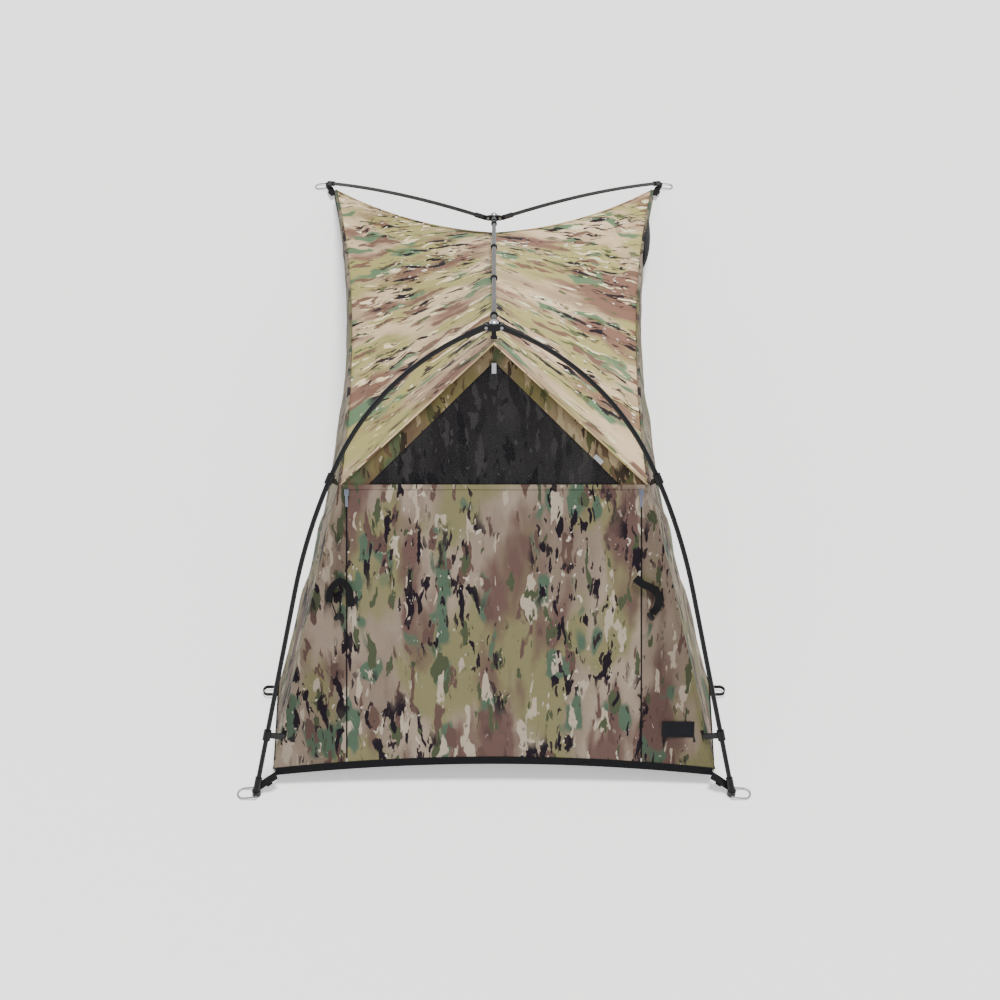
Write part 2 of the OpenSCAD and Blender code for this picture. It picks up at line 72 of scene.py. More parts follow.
# Front wall: half widths and heights up the wall
FRONT_HALF, FRONT_HEM_Q, FRONT_HEM_RISE = 0.508, 0.047, 0.028
SHOULDER_X, SHOULDER_Q = 0.342, 0.722
SILL_Q, APEX_Q, MESH_X = 0.717, 1.000, 0.285
DOOR_LOW, DOOR_TOP = 0.340, 0.328
ZIP_GAP = 0.0018
BORDER_PEAK, BORDER_FOOT = np.array([0.0, 1.040]), np.array([0.346, 0.7205])

# Rear hem: half width, place and how far its middle is cut in
REAR_HALF, REAR_Y, REAR_CUT = 0.524, 1.146, 0.285

BROW = HUB + [0, -0.022, -0.027]
RIDGE_END = np.array([0, 0.500, 0.333])
SHOULDER = on_wall(SHOULDER_X, SHOULDER_Q)
HEM_CORNER = on_wall(FRONT_HALF, FRONT_HEM_Q)
EAVE_END = np.array([0.516, 1.128, 0.050])
HEM_END = np.array([REAR_HALF, REAR_Y, 0.014])
PEG_T = 0.11
PEG = np.array([0.5218, -0.9242, 0.022])
EAVE_CUT = np.array([0.036, 0, 0])
SIDE_CUT = np.array([0.096, 0, -0.008])
REAR_EDGE_CUT = np.array([0, 0.030, 0.012])
ROOF_SAG = np.array([0, 0, 0.014])


def col(a):
    return np.asarray(a, float)[..., None]


def mix(a, b, t):
    return a + (b - a) * t


def hump(t):
    """0 at both ends of 0 to 1, and 1 in the middle."""
    return 4 * t * (1 - t)


def eave(t):
    return mix(SHOULDER, EAVE_END, col(t)) - EAVE_CUT * col(hump(t))


def side_hem(t):
    """Straight from the front corner to the peg loop, then cut in towards the rear corner."""
    t = col(t)
    run = (t - PEG_T) / (1 - PEG_T)
    cut_in = mix(PEG, HEM_END, run) - SIDE_CUT * hump(run)
    return np.where(t < PEG_T, mix(HEM_CORNER, PEG, t / PEG_T), cut_in)


def hem_q(x):
    return FRONT_HEM_Q + FRONT_HEM_RISE * (1 - (np.asarray(x) / FRONT_HALF) ** 2)


def rear_hem(x, z):
    x, z = np.broadcast_arrays(np.asarray(x, float), z)
    return np.stack([x, REAR_Y - REAR_CUT * (1 - (x / REAR_HALF) ** 1.5), z], -1)


def calm(x, reach=0.02):
    """x, made level at 0, so that a left and a right half meet with the same slope."""
    return x**3 / (x * x + reach * reach)


def roof_pt(t, v):
    flat = mix(mix(BROW, RIDGE_END, col(t)), eave(t), col(v))
    return (flat - REAR_EDGE_CUT * col(hump(v) * t**3)
            - ROOF_SAG * col(hump(v) * np.sin(math.pi * t)))


def wall_pt(t, v):
    return mix(eave(t), side_hem(t), col(v))


# ---------------------------------------------------------------- cloth relief
def field(x, y, seed):
    """Smooth noise from -1 to 1 with a feature size of one unit."""
    g = np.random.default_rng(seed).uniform(-1, 1, (61, 61))
    xi, yi = np.floor(x).astype(int), np.floor(y).astype(int)
    fx, fy = x - xi, y - yi
    fx, fy = fx * fx * (3 - 2 * fx), fy * fy * (3 - 2 * fy)
    a, b = g[xi % 61, yi % 61], g[(xi + 1) % 61, yi % 61]
    c, d = g[xi % 61, (yi + 1) % 61], g[(xi + 1) % 61, (yi + 1) % 61]
    return (a * (1 - fx) + b * fx) * (1 - fy) + (c * (1 - fx) + d * fx) * fy


def folds(x, y, lines):
    """Tension folds, each (x0, y0, x1, y1, width, height): a ridge beside a trough, faded at its ends."""
    out = np.zeros_like(x)
    for x0, y0, x1, y1, width, height in lines:
        length = math.hypot(x1 - x0, y1 - y0)
        ux, uy = (x1 - x0) / length, (y1 - y0) / length
        s = np.clip(((x - x0) * ux + (y - y0) * uy) / length, 0, 1)
        drift = (x - x0) * uy - (y - y0) * ux + 0.006 * np.sin(7 * s)
        across = drift / (width * (0.55 + 0.9 * s))
        out += height * hump(s) ** 0.8 * (np.exp(-across**2) - 0.55 * np.exp(-(across - 1.5) ** 2))
    return out


def crumple(x, y, seed, size, height):
    """Fine crinkles of about the given size, on soft creases."""
    n = field(x / size, y / size, seed) + 0.5 * field(x / size * 2.1, y / size * 2.1, seed + 1)
    ridge = 1 - np.abs(field(x / size / 1.6 + 5, y / size / 1.6, seed + 2)) * 2.2
    return height * (0.6 * n + 0.7 * np.clip(ridge, 0, 1) ** 2)

def fade(t, rate):
    """1 inside a panel and 0 at both its edges, so that relief never opens a seam."""
    return np.clip(hump(t) * rate, 0, 1)


def outer_fade(a, rate):
    """1 near the middle of the blind and 0 at a panel's outer edge."""
    return np.clip((1 - a) * rate, 0, 1)


# ---------------------------------------------------------------- materials
def lin(*rgb):
    return tuple((c / 255 / 12.92) if c < 10.3 else ((c / 255 + 0.055) / 1.055) ** 2.4 for c in rgb)


class Net:
    """A material's node tree, with short calls for the nodes used here."""

    def __init__(self, name, colour, rough, metal=0.0):
        self.mat = bpy.data.materials.new(name)
        self.mat.use_nodes = True
        self.tree = self.mat.node_tree
        self.bsdf = self.tree.nodes["Principled BSDF"]
        self.set("Base Color", (*colour, 1))
        self.set("Roughness", rough)
        self.set("Metallic", metal)

    def set(self, socket, value):
        if isinstance(value, bpy.types.NodeSocket):
            self.tree.links.new(value, self.bsdf.inputs[socket])
        else:
            self.bsdf.inputs[socket].default_value = value

    def new(self, kind, **props):
        node = self.tree.nodes.new(kind)
        for k, v in props.items():
            setattr(node, k, v)
        return node

    def put(self, node, index, value):
        if isinstance(value, bpy.types.NodeSocket):
            self.tree.links.new(value, node.inputs[index])
        else:
            node.inputs[index].default_value = value

    def coords(self, kind="UV"):
        return self.new("ShaderNodeTexCoord").outputs[kind]

    def vec(self, op, a, b):
        node = self.new("ShaderNodeVectorMath", operation=op)
        self.put(node, 0, a)
        self.put(node, 1, b)
        return node.outputs[0]

    def math(self, op, a, b):
        node = self.new("ShaderNodeMath", operation=op)
        self.put(node, 0, a)
        self.put(node, 1, b)
        return node.outputs[0]

    def noise(self, at, scale, offset=(0, 0, 0), detail=2.0, rough=0.5, out="Fac"):
        node = self.new("ShaderNodeTexNoise")
        node.inputs["Scale"].default_value = 1.0
        node.inputs["Detail"].default_value = detail
        node.inputs["Roughness"].default_value = rough
        scaled = self.vec("ADD", self.vec("MULTIPLY", at, scale), offset)
        self.tree.links.new(scaled, node.inputs["Vector"])
        return node.outputs[out]

    def step(self, value, low, high):
        node = self.new("ShaderNodeMapRange", interpolation_type="SMOOTHSTEP")
        self.put(node, "Value", value)
        node.inputs["From Min"].default_value = low
        node.inputs["From Max"].default_value = high
        return node.outputs["Result"]

    def blend(self, fac, a, b):
        node = self.new("ShaderNodeMix", data_type="RGBA")
        self.put(node, 0, fac)
        self.put(node, 6, a)
        self.put(node, 7, b)
        return node.outputs[2]

    def bump(self, height, distance, strength=1.0):
        node = self.new("ShaderNodeBump")
        node.inputs["Distance"].default_value = distance
        node.inputs["Strength"].default_value = strength
        self.put(node, "Height", height)
        self.set("Normal", node.outputs["Normal"])


def rgba(*srgb):
    return (*lin(*srgb), 1)

PRINT_GROUND = (136, 119, 99)
# Printed over the ground in turn: noise scale, where it starts, where it is full, detail, sRGB
PRINT_LAYERS = [
    ((5.5, 2.6), 0.40, 0.60, 3, (162, 144, 121)),
    ((8, 3.8), 0.45, 0.57, 2, (131, 124, 85)),
    ((10, 3.2), 0.49, 0.64, 3, (106, 82, 71)),
    ((15, 6.5), 0.585, 0.64, 2, (84, 101, 79)),
    ((34, 9.5), 0.595, 0.625, 3, (99, 77, 66)),
    ((36, 10), 0.625, 0.645, 3, (180, 164, 138)),
    ((40, 12), 0.63, 0.65, 3, (78, 83, 58)),
]
# Fine marks that keep to clusters: noise scale, number, start, full, detail, roughness, sRGB
PRINT_MARKS = [
    ((42, 11), 9, 0.575, 0.59, 3, 0.55, (32, 24, 31)),
    ((84, 24), 11, 0.625, 0.64, 2, 0.5, (50, 39, 40)),
    ((70, 38), 10, 0.66, 0.68, 2, 0.5, (196, 183, 158)),
]
PRINT_MEAN = (132, 120, 97)
PRINT_CEILING = (0.8, 0.76, 0.7)
# Dark olive that a copy of the print is washed towards, as painted shade
PAINTED_SHADE_OLIVE = (62, 54, 34)
RIPSTOP_PITCH = 0.0055


def camo_colour(net, at, seed):
    """Printed leaf-litter camouflage: soft tan, olive, green and brown, with crisp streaks along V."""
    shift = (seed * 3.7, seed * 9.1, seed * 1.3)
    cloud = net.noise(at, (30, 14, 1), shift, 3, out="Color")
    wobble = net.vec("SUBTRACT", cloud, (0.5, 0.5, 0.5))
    warped = net.vec("ADD", at, net.vec("MULTIPLY", wobble, (0.03, 0.05, 0)))

    def layer(scale, number, low, high, detail=2.0, rough=0.5):
        offset = (shift[0] + 11.3 * number, shift[1] + 5.7 * number, 2.9 * number)
        return net.step(net.noise(warped, (*scale, 1), offset, detail, rough), low, high)

    tone = rgba(*PRINT_GROUND)
    for number, (scale, low, high, detail, srgb) in enumerate(PRINT_LAYERS, 1):
        tone = net.blend(layer(scale, number, low, high, detail), tone, rgba(*srgb))
    cluster = layer((7.5, 3.2), 8, 0.45, 0.54)
    for scale, number, low, high, detail, rough, srgb in PRINT_MARKS:
        marks = net.math("MULTIPLY", cluster, layer(scale, number, low, high, detail, rough))
        tone = net.blend(marks, tone, rgba(*srgb))
    return tone


def weave(net, at, colour):
    """Ripstop grid and fine crinkle as bump, with an uneven roughness."""
    lines = net.new("ShaderNodeTexBrick", offset=0.0)
    for name, value in (("Scale", 1 / RIPSTOP_PITCH / 4), ("Mortar Size", 0.06),
                        ("Brick Width", 1.0), ("Row Height", 1.0)):
        lines.inputs[name].default_value = value
    net.tree.links.new(at, lines.inputs["Vector"])
    crinkle = net.noise(at, (55, 40, 1), (4, 1, 0), 5, 0.6)
    height = net.math("ADD", net.math("MULTIPLY", lines.outputs["Fac"], 0.10), crinkle)
    net.bump(height, 0.0035, 0.55)
    net.set("Roughness", net.math("ADD", net.math("MULTIPLY", crinkle, 0.25), 0.60))
    net.set("Base Color", colour)
    net.set("Specular IOR Level", 0.12)


def camo(name, seed, tint, contrast=1.0, shade_share=0.0):
    """The print on coated cloth, with its own tint and contrast; the wash towards a dark olive is painted shade.
    """
    mean = np.array(lin(*PRINT_MEAN)) ** contrast * tint
    net = Net(name, mix(mean, np.array(lin(*PAINTED_SHADE_OLIVE)), shade_share), 0.75)
    at = net.coords()
    deep = net.new("ShaderNodeGamma")
    deep.inputs["Gamma"].default_value = contrast
    net.put(deep, "Color", camo_colour(net, at, seed))
    print_tone = net.vec("MINIMUM", net.vec("MULTIPLY", deep.outputs["Color"], tint), PRINT_CEILING)
    weave(net, at, net.blend(shade_share, print_tone, rgba(*PAINTED_SHADE_OLIVE)))
    return net.mat


def window_mesh_material():
    """Dark printed netting with fine holes: its darkness is partly the netting's own black and partly painted
    shade of the dim inside behind it.
    """
    net = Net("printed_mesh", lin(40, 39, 43), 0.8)
    at = net.coords()
    print_tone = camo_colour(net, at, 4.0)
    # Greyed and darkened: partly the netting's own black, partly painted shade of the dim inside
    grey = net.new("ShaderNodeHueSaturation")
    grey.inputs["Saturation"].default_value = 0.25
    grey.inputs["Value"].default_value = 0.09
    net.put(grey, "Color", print_tone)
    net.set("Base Color", net.blend(0.35, grey.outputs["Color"], rgba(22, 19, 28)))
    holes = net.noise(at, (420, 420, 1), (0, 0, 0), 0)
    net.set("Alpha", net.math("ADD", net.math("MULTIPLY", net.step(holes, 0.3, 0.7), 0.10), 0.86))
    net.bump(holes, 0.001, 0.4)
    net.set("Specular IOR Level", 0.15)
    return net.mat


def plain(name, srgb, rough, metal=0.0, grain=(400, 400, 400), depth=0.0004, coat=0.0):
    """A solid finish with fine grain in its roughness and its relief, by position."""
    spread = 0.12
    net = Net(name, lin(*srgb), rough, metal)
    at = net.coords("Object")
    fine = net.noise(at, grain, (1, 2, 3), 3)
    broad = net.noise(at, (14, 14, 14), (5, 1, 2), 2)
    net.set("Roughness", net.math("ADD", net.math("MULTIPLY", broad, spread), rough - spread / 2))
    net.bump(fine, depth, 0.35)
    net.set("Coat Weight", coat)
    net.set("Specular IOR Level", 0.3)
    return net.mat


def webbing(name, srgb, rib=0.0022):
    """Woven tape: ribs across its length, which is V."""
    net = Net(name, lin(*srgb), 0.8)
    at = net.coords()
    waves = net.new("ShaderNodeTexWave", wave_type="BANDS", bands_direction="Y")
    waves.inputs["Scale"].default_value = 1 / rib / 3.2
    waves.inputs["Distortion"].default_value = 0.6
    net.tree.links.new(at, waves.inputs["Vector"])
    fuzz = net.noise(at, (700, 700, 1), (0, 0, 0), 2)
    net.bump(net.math("ADD", waves.outputs["Fac"], net.math("MULTIPLY", fuzz, 0.5)), 0.0007, 0.6)
    net.set("Roughness", net.math("ADD", net.math("MULTIPLY", fuzz, 0.2), 0.65))
    net.set("Specular IOR Level", 0.2)
    return net.mat


CAMO = {
    "front": camo("camo_front", 1.0, (0.84, 0.87, 1.00), 1.05),
    # The wing and wall copies are darker than the front as painted shade
    "wing": camo("camo_wing", 1.0, (0.64, 0.65, 0.74), 1.05),
    "wall": camo("camo_wall", 5.3, (0.60, 0.62, 0.66)),
    # Both roof copies are much brighter than the front as painted sunlight, the right one brighter still as
    # painted light from the right
    "roof_left": camo("camo_roof_left", 2.0, (2.20, 2.28, 2.24), 1.25),
    "roof_right": camo("camo_roof_right", 3.1, (2.62, 2.70, 2.66), 1.25),
    # The border copy is washed towards dark olive as painted shade under the roof's brow
    "border": camo("camo_border", 7.9, (0.9, 0.86, 0.74), shade_share=0.4),
}
MESH = window_mesh_material()
BINDING = webbing("binding_black", (10, 10, 14))
TAPE = webbing("zip_tape_black", (15, 15, 18), 0.0011)
PATCH = webbing("label_black", (14, 15, 21), 0.0014)
STRAP = webbing("strap_black", (10, 10, 13))
FINISH = {
    "pole": plain("pole_black", (9, 9, 13), 0.45, grain=(60, 60, 900), depth=0.0002, coat=0.05),
    "hub": plain("hub_moulding", (12, 12, 15), 0.5, depth=0.0005),
    "silver": plain("satin_metal", (214, 216, 220), 0.32, metal=1.0),
    "pin_steel": plain("pin_steel", (178, 181, 186), 0.3, metal=1.0),
    "plastic": plain("clip_moulding", (10, 10, 13), 0.52, depth=0.0005),
    "slider": plain("cast_slider", (128, 133, 148), 0.36, metal=0.8),
    "ring": plain("plated_wire", (150, 153, 158), 0.38, metal=1.0),
    "webbing": plain("webbing_black", (9, 9, 12), 0.82, grain=(900, 900, 500), depth=0.0008),
    "camo": CAMO["front"],
    "mesh": MESH,
}


# ---------------------------------------------------------------- mesh building
def new_mesh(name, points, faces, uvs, material, smooth=True):
    mesh = bpy.data.meshes.new(name)
    mesh.from_pydata([tuple(p) for p in points], [], faces)
    if uvs is not None:
        layer = mesh.uv_layers.new(name="UVMap")
        loop_uv = np.asarray(uvs, np.float32)[[i for f in faces for i in f]]
        layer.data.foreach_set("uv", loop_uv.ravel())
    mesh.materials.append(material)
    if smooth:
        mesh.shade_smooth()
    obj = bpy.data.objects.new(name, mesh)
    bpy.context.scene.collection.objects.link(obj)
    return obj


def grid(name, pts, uvs, material, side=1, thickness=CLOTH):
    """A sheet from an (n, m, 3) grid, mirrored for the left side, given its thickness inward."""
    n, m = pts.shape[:2]
    pts = pts * [side, 1, 1]
    idx = np.arange(n * m).reshape(n, m)
    quads = np.stack([idx[:-1, :-1], idx[1:, :-1], idx[1:, 1:], idx[:-1, 1:]], -1).reshape(-1, 4)
    if side < 0:
        quads = quads[:, ::-1]
    obj = new_mesh(name, pts.reshape(-1, 3), quads.tolist(), uvs.reshape(-1, 2), material)
    rim = {*idx[0], *idx[-1], *idx[:, 0], *idx[:, -1]}
    for e in obj.data.edges:
        a, b = e.vertices
        if a in rim and b in rim:
            ia, ja, ib, jb = a // m, a % m, b // m, b % m
            e.use_edge_sharp = (ia == ib and ia in (0, n - 1)) or (ja == jb and ja in (0, m - 1))
    mod = obj.modifiers.new("thickness", "SOLIDIFY")
    mod.thickness, mod.offset = thickness, -1
    return obj


def area_of(pts):
    """The area of a grid's quads, each as two triangles."""
    near, far = pts[:-1, :-1], pts[1:, 1:]
    over, up = pts[1:, :-1], pts[:-1, 1:]
    a = np.linalg.norm(np.cross(over - near, up - near), axis=-1)
    b = np.linalg.norm(np.cross(up - far, over - far), axis=-1)
    return float((a + b).sum() / 2)


def params(n, m):
    return np.meshgrid(np.linspace(0, 1, n), np.linspace(0, 1, m), indexing="ij")


def strip(name, line, across, width, uv_v, material, side, lift=0.0, thickness=0.0016, printed=False):
    """A tape along a line of points, width wide along across. A printed one continues the wall's print."""
    n = len(line)
    rows = np.linspace(-0.5, 0.5, 3)
    across = np.broadcast_to(across, line.shape)
    pts = line[:, None, :] + rows[None, :, None] * width * across[:, None, :] + lift
    length = np.concatenate([[0], np.cumsum(np.linalg.norm(np.diff(line, axis=0), axis=1))])
    uvs = np.stack([np.broadcast_to(rows * width, (n, 3)),
                    np.broadcast_to(length[:, None] + uv_v, (n, 3))], -1)
    if printed:
        q = (pts[..., 1] - WALL_Y) * math.cos(TILT) + pts[..., 2] * math.sin(TILT)
        uvs = np.stack([pts[..., 0] * side, q], -1)
    return grid(name, pts, uvs, material, side, thickness)


def attach(obj, side_name, spine_share, replaced, sheet=None):
    """Rides with its side, or is baked in place when shared with the spine, and stands for its CAD nodes."""
    if spine_share:
        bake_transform(obj)
    else:
        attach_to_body(obj, f"{side_name}_side")
    if replaced:
        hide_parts(*replaced)


def unit(v):
    return v / np.linalg.norm(v, axis=-1, keepdims=True)


def outward(pts, axis):
    """A grid's normals, turned so that they point along the positive axis."""
    normal = unit(np.cross(np.gradient(pts, axis=0), np.gradient(pts, axis=1)))
    return normal * np.sign(normal[..., axis:axis + 1])


# ---------------------------------------------------------------- canopy panels
ROOF_LENGTH, WALL_LENGTH, REAR_LENGTH = 1.36, 2.0, 0.7
ROOF_FRONT_WIDTH, ROOF_REAR_WIDTH = 0.44, 0.87
ROOF_PRINT_SCALE = 0.68
RIDGE_SAG = 0.004

# Each fold: where it starts and ends on the panel, its width and its height
ROOF_FOLDS = [
    (0.02, 0.40, 0.50, 0.06, 0.020, 0.005), (0.04, 0.42, 0.70, 0.20, 0.024, 0.005),
    (0.05, 0.43, 0.90, 0.45, 0.030, 0.005), (1.34, 0.84, 0.80, 0.30, 0.030, 0.006),
    (1.33, 0.82, 1.10, 0.20, 0.026, 0.005), (1.30, 0.86, 0.70, 0.62, 0.030, 0.005),
    (0.30, 0.02, 0.42, 0.30, 0.016, 0.003), (0.62, 0.02, 0.56, 0.34, 0.018, 0.003),
    (0.93, 0.02, 1.02, 0.36, 0.020, 0.003)]
WALL_FOLDS = [
    (0.02, 0.05, 0.50, 0.42, 0.024, 0.006), (0.03, 0.10, 0.34, 0.60, 0.020, 0.006),
    (0.05, 0.02, 0.85, 0.22, 0.026, 0.005), (1.96, 0.02, 1.30, 0.16, 0.020, 0.004),
    (0.80, 0.02, 0.72, 0.40, 0.018, 0.004), (1.20, 0.02, 1.28, 0.26, 0.018, 0.004)]
WING_FOLDS = [
    (0.345, 0.71, 0.42, 0.25, 0.014, 0.004), (0.50, 0.06, 0.38, 0.45, 0.016, 0.004),
    (0.49, 0.16, 0.36, 0.30, 0.014, 0.003)]
DOOR_FOLDS = [
    (-0.31, 0.70, -0.05, 0.30, 0.024, 0.0045), (0.31, 0.70, 0.02, 0.36, 0.026, 0.0045),
    (-0.33, 0.10, -0.10, 0.46, 0.022, 0.004), (0.33, 0.10, 0.12, 0.50, 0.024, 0.004),
    (-0.20, 0.71, -0.14, 0.40, 0.016, 0.003), (0.16, 0.71, 0.20, 0.42, 0.016, 0.003)]
REAR_FOLDS = [
    (0.50, 0.66, 0.10, 0.10, 0.03, 0.006), (0.30, 0.66, 0.04, 0.20, 0.03, 0.005)]


def roof(side_name, side):
    """Roof panel from the ridge to the eave, scalloped between the ridge clips."""
    rows = 120
    t, v = params(rows, 56)
    flat = roof_pt(t, v)
    along, down = t * ROOF_LENGTH, v * mix(ROOF_FRONT_WIDTH, ROOF_REAR_WIDTH, t)
    relief = folds(along, down, ROOF_FOLDS) + crumple(along, down, 20 + side, 0.13, 0.0034)
    pts = flat + outward(flat, 2) * (relief * (fade(v, 4) * fade(t, 9)))[..., None]
    pts[:, 0, 2] -= RIDGE_SAG * np.abs(np.sin(np.linspace(0, 3.4 * math.pi, rows)))
    uv = np.stack([(t + 0.45 * v * (t - 0.2)) * ROOF_LENGTH, down], -1) * ROOF_PRINT_SCALE
    obj = grid(f"roof_{side_name}_cloth", pts, uv, CAMO[f"roof_{side_name}"], side)
    rests = ["ridge_clip", f"front_{side_name}_shoulder_clip", f"rear_{side_name}_corner_strap"]
    attach(obj, side_name, True, [f"roof_{side_name}"],
           ((1.42, 0.88), "stretched", rests, area_of(flat)))


def side_wall(side_name, side):
    t, v = params(110, 26)
    flat = wall_pt(t, v)
    height = np.linalg.norm(wall_pt(t, np.ones_like(v)) - wall_pt(t, np.zeros_like(v)), axis=-1)
    along, down = t * WALL_LENGTH, v * height
    relief = folds(along, down, WALL_FOLDS) + crumple(along, down, 40 + side, 0.10, 0.0030)
    pts = flat + outward(flat, 0) * (relief * (fade(v, 3) * fade(t, 12)))[..., None]
    obj = grid(f"{side_name}_wall_cloth", pts, np.stack([along + 4 * side, down], -1), CAMO["wall"], side)
    rests = [f"roof_{side_name}_cloth", f"front_{side_name}_hem_clip"]
    attach(obj, side_name, False, [f"{side_name}_wall"],
           ((2.05, 0.66), "hung", rests, area_of(flat)))


def front_wing(side_name, side):
    """Front wall outside the door zip."""
    a, b = params(30, 90)
    x = mix(mix(DOOR_LOW, DOOR_TOP, b) + ZIP_GAP, mix(FRONT_HALF, SHOULDER_X, b), a)
    q = mix(hem_q(mix(DOOR_LOW, FRONT_HALF, a)), mix(SILL_Q, SHOULDER_Q, a), b)
    relief = folds(x, q, WING_FOLDS) + crumple(x, q, 60 + side, 0.09, 0.003)
    pts = on_wall(x, q, relief * (fade(a, 3) * fade(b, 8)))
    obj = grid(f"{side_name}_wing_cloth", pts, np.stack([x * side, q], -1), CAMO["wing"], side)
    rests = [f"front_{side_name}_shoulder_clip", f"front_{side_name}_hem_clip"]
    attach(obj, side_name, False, [f"{side_name}_front_wing"],
           ((0.17, 0.70), "stretched", rests, area_of(on_wall(x, q))))


def door(side_name, side):
    """Half of the door, from the middle to the door zip, bowed inwards a little."""
    a, b = params(64, 120)
    x = a * (mix(DOOR_LOW, DOOR_TOP, b) - ZIP_GAP)
    q = mix(hem_q(a * DOOR_LOW), SILL_Q - 0.002, b)
    across = calm(x * side)
    relief = folds(across, q, DOOR_FOLDS) + (crumple(across, q, 80, 0.12, 0.0034)
                                             - 0.008 * hump(b) * (1 - a**2))
    pts = on_wall(x, q, relief * (outer_fade(a, 10) * fade(b, 8)))
    obj = grid(f"door_{side_name}_cloth", pts, np.stack([x * side, q], -1), CAMO["front"], side)
    attach(obj, side_name, True, ["door_panel"],
           ((0.34, 0.67), "stretched", ["window_mesh", f"{side_name}_door_zip"], area_of(on_wall(x, q))))


def mesh_window(side_name, side):
    """Half of the triangular window."""
    a, b = params(40, 60)
    x = a * MESH_X * (1 - 0.985 * b)
    q = mix(SILL_Q, APEX_Q, b)
    bow = -0.006 * hump(b) * (1 - a**2)
    relief = (bow + crumple(calm(x * side), q, 90, 0.10, 0.0015)) * fade(b, 6) * outer_fade(a, 8)
    obj = grid(f"window_{side_name}_mesh", on_wall(x, q, relief - 0.002),
               np.stack([x * side, q], -1), MESH, side, 0.0008)
    attach(obj, side_name, True, ["window_mesh"],
           ((0.29, 0.29), "stretched", ["door_panel", "window_surround"], area_of(on_wall(x, q))))


def window_border(side_name, side):
    """Camouflage strip between the mesh and the roof's edge, in a copy darkened as painted shade under the brow.
    """
    a, b = params(40, 8)
    outer = mix(BORDER_PEAK, BORDER_FOOT, col(a))
    inner = mix(np.array([0.0, APEX_Q - 0.004]), np.array([MESH_X - 0.002, SILL_Q]), col(a))
    xq = mix(inner, outer, col(b))
    x, q = xq[..., 0], xq[..., 1]
    bulge = b * hump(b) * (0.006 * hump(a) + 0.003 * field(a * 14, b * 2, 7))
    obj = grid(f"window_{side_name}_border", on_wall(x, q, bulge),
               np.stack([x * side, q], -1), CAMO["border"], side)
    attach(obj, side_name, True, ["window_surround"],
           ((0.46, 0.05), "stretched", ["apex_hook", f"front_{side_name}_shoulder_clip"],
            area_of(on_wall(x, q))))


def rear_panel(side_name, side):
    """Half of the sloping panel between the roof's rear edge and the rear hem."""
    a, b = params(60, 24)
    top = roof_pt(np.ones_like(a), a) + [0, 0.002, -0.001]
    flat = mix(top, rear_hem(a * 0.520, 0.016), col(b))
    x, down = flat[..., 0], b * REAR_LENGTH
    relief = folds(x, down, REAR_FOLDS) + crumple(calm(x * side), down, 95, 0.1, 0.003)
    relief = relief * fade(b, 5) * outer_fade(a, 9)
    pts = flat + np.array([0, 0.7, 0.7]) * relief[..., None]
    # The rear panel takes the wall's darker copy, whose darkness is painted shade
    obj = grid(f"rear_{side_name}_cloth", pts, np.stack([x * side, 3 + down], -1), CAMO["wall"], side)
    attach(obj, side_name, True, ["rear_panel"],
           ((0.53, 0.72), "stretched", [f"roof_{side_name}_cloth"], area_of(flat)))


# ---------------------------------------------------------------- hems, edges and seams
HEM_WIDTH = 0.018
UPRIGHT = np.array([0, 0, 1.0])


def hems(side_name, side):
    """Black bindings on the front, side and rear hems."""
    s = np.linspace(0, 1, 60)
    line = on_wall(s * 0.506, hem_q(s * 0.506) - 0.006, 0.0012)
    obj = strip(f"front_{side_name}_hem", line, UP_WALL, HEM_WIDTH, 0.0, BINDING, side)
    attach(obj, side_name, True, ["front_hem"])
    line = side_hem(np.linspace(0, 1, 100)) + [0.0012, 0, 0]
    obj = strip(f"{side_name}_side_hem", line, UPRIGHT, HEM_WIDTH, 0.0, BINDING, side)
    attach(obj, side_name, False, [f"{side_name}_hem"])
    line = rear_hem(np.linspace(0, 1, 30) * 0.52, 0.012) + [0, 0.0015, 0]
    obj = strip(f"rear_{side_name}_hem", line, UPRIGHT, HEM_WIDTH, 0.0, BINDING, side)
    attach(obj, side_name, True, ["rear_hem"])


def roof_edge(name, side_name, side, end, inner_t, steps, width, uv_v, lift, thickness):
    """Folded edge across the roof at its front or rear end; inner_t is a place just inside it."""
    s = np.linspace(0, 1, steps)
    line = roof_pt(np.full_like(s, end), s)
    inward = unit(roof_pt(np.full_like(s, inner_t), s) - line)
    obj = strip(name, line + inward * 0.004, inward, width, uv_v, CAMO[f"roof_{side_name}"], side,
                np.array(lift), thickness)
    attach(obj, side_name, True, [])


def roof_edges(side_name, side):
    """Folded edges of the roof along the brow and the rear, with the eave seam between them."""
    roof_edge(f"brow_{side_name}_edge", side_name, side, 0.0, 0.02, 50, 0.014, 0.3,
              (0, -0.0006, 0.0014), 0.003)
    line = eave(np.linspace(0, 1, 100)) + [0.0008, 0, 0.001]
    # The eave seam takes the wall's darker copy, whose darkness is painted shade
    obj = strip(f"eave_{side_name}_seam", line, unit(np.array([0.8, 0, -0.6])), 0.009, 0.7,
                CAMO["wall"], side, thickness=0.0025)
    attach(obj, side_name, False, [])
    roof_edge(f"rear_{side_name}_edge", side_name, side, 1.0, 0.98, 60, 0.012, 0.9,
              (0, 0, 0.0014), 0.0025)


def front_seams(side_name, side):
    """Corner seam where the wing meets the side wall, and the sill band under the mesh."""
    line = mix(SHOULDER, HEM_CORNER, col(np.linspace(0, 1, 60))) + WALL_N * 0.0008
    # The corner seam takes the wing's darker copy, whose darkness is painted shade
    obj = strip(f"corner_{side_name}_seam", line, np.array([1.0, 0, 0]), 0.008, 0.2,
                CAMO["wing"], side, thickness=0.0025, printed=True)
    attach(obj, side_name, False, [])
    line = on_wall(np.linspace(0, 1, 50) * 0.336, SILL_Q - 0.002, 0.0018)
    obj = strip(f"sill_{side_name}_band", line, UP_WALL, 0.010, 0.1,
                CAMO["front"], side, thickness=0.002, printed=True)
    attach(obj, side_name, True, [])


# ---------------------------------------------------------------- zips
TOOTH_PITCH, TOOTH_R = 0.004, 0.0017
TOOTH_SIDES = 6


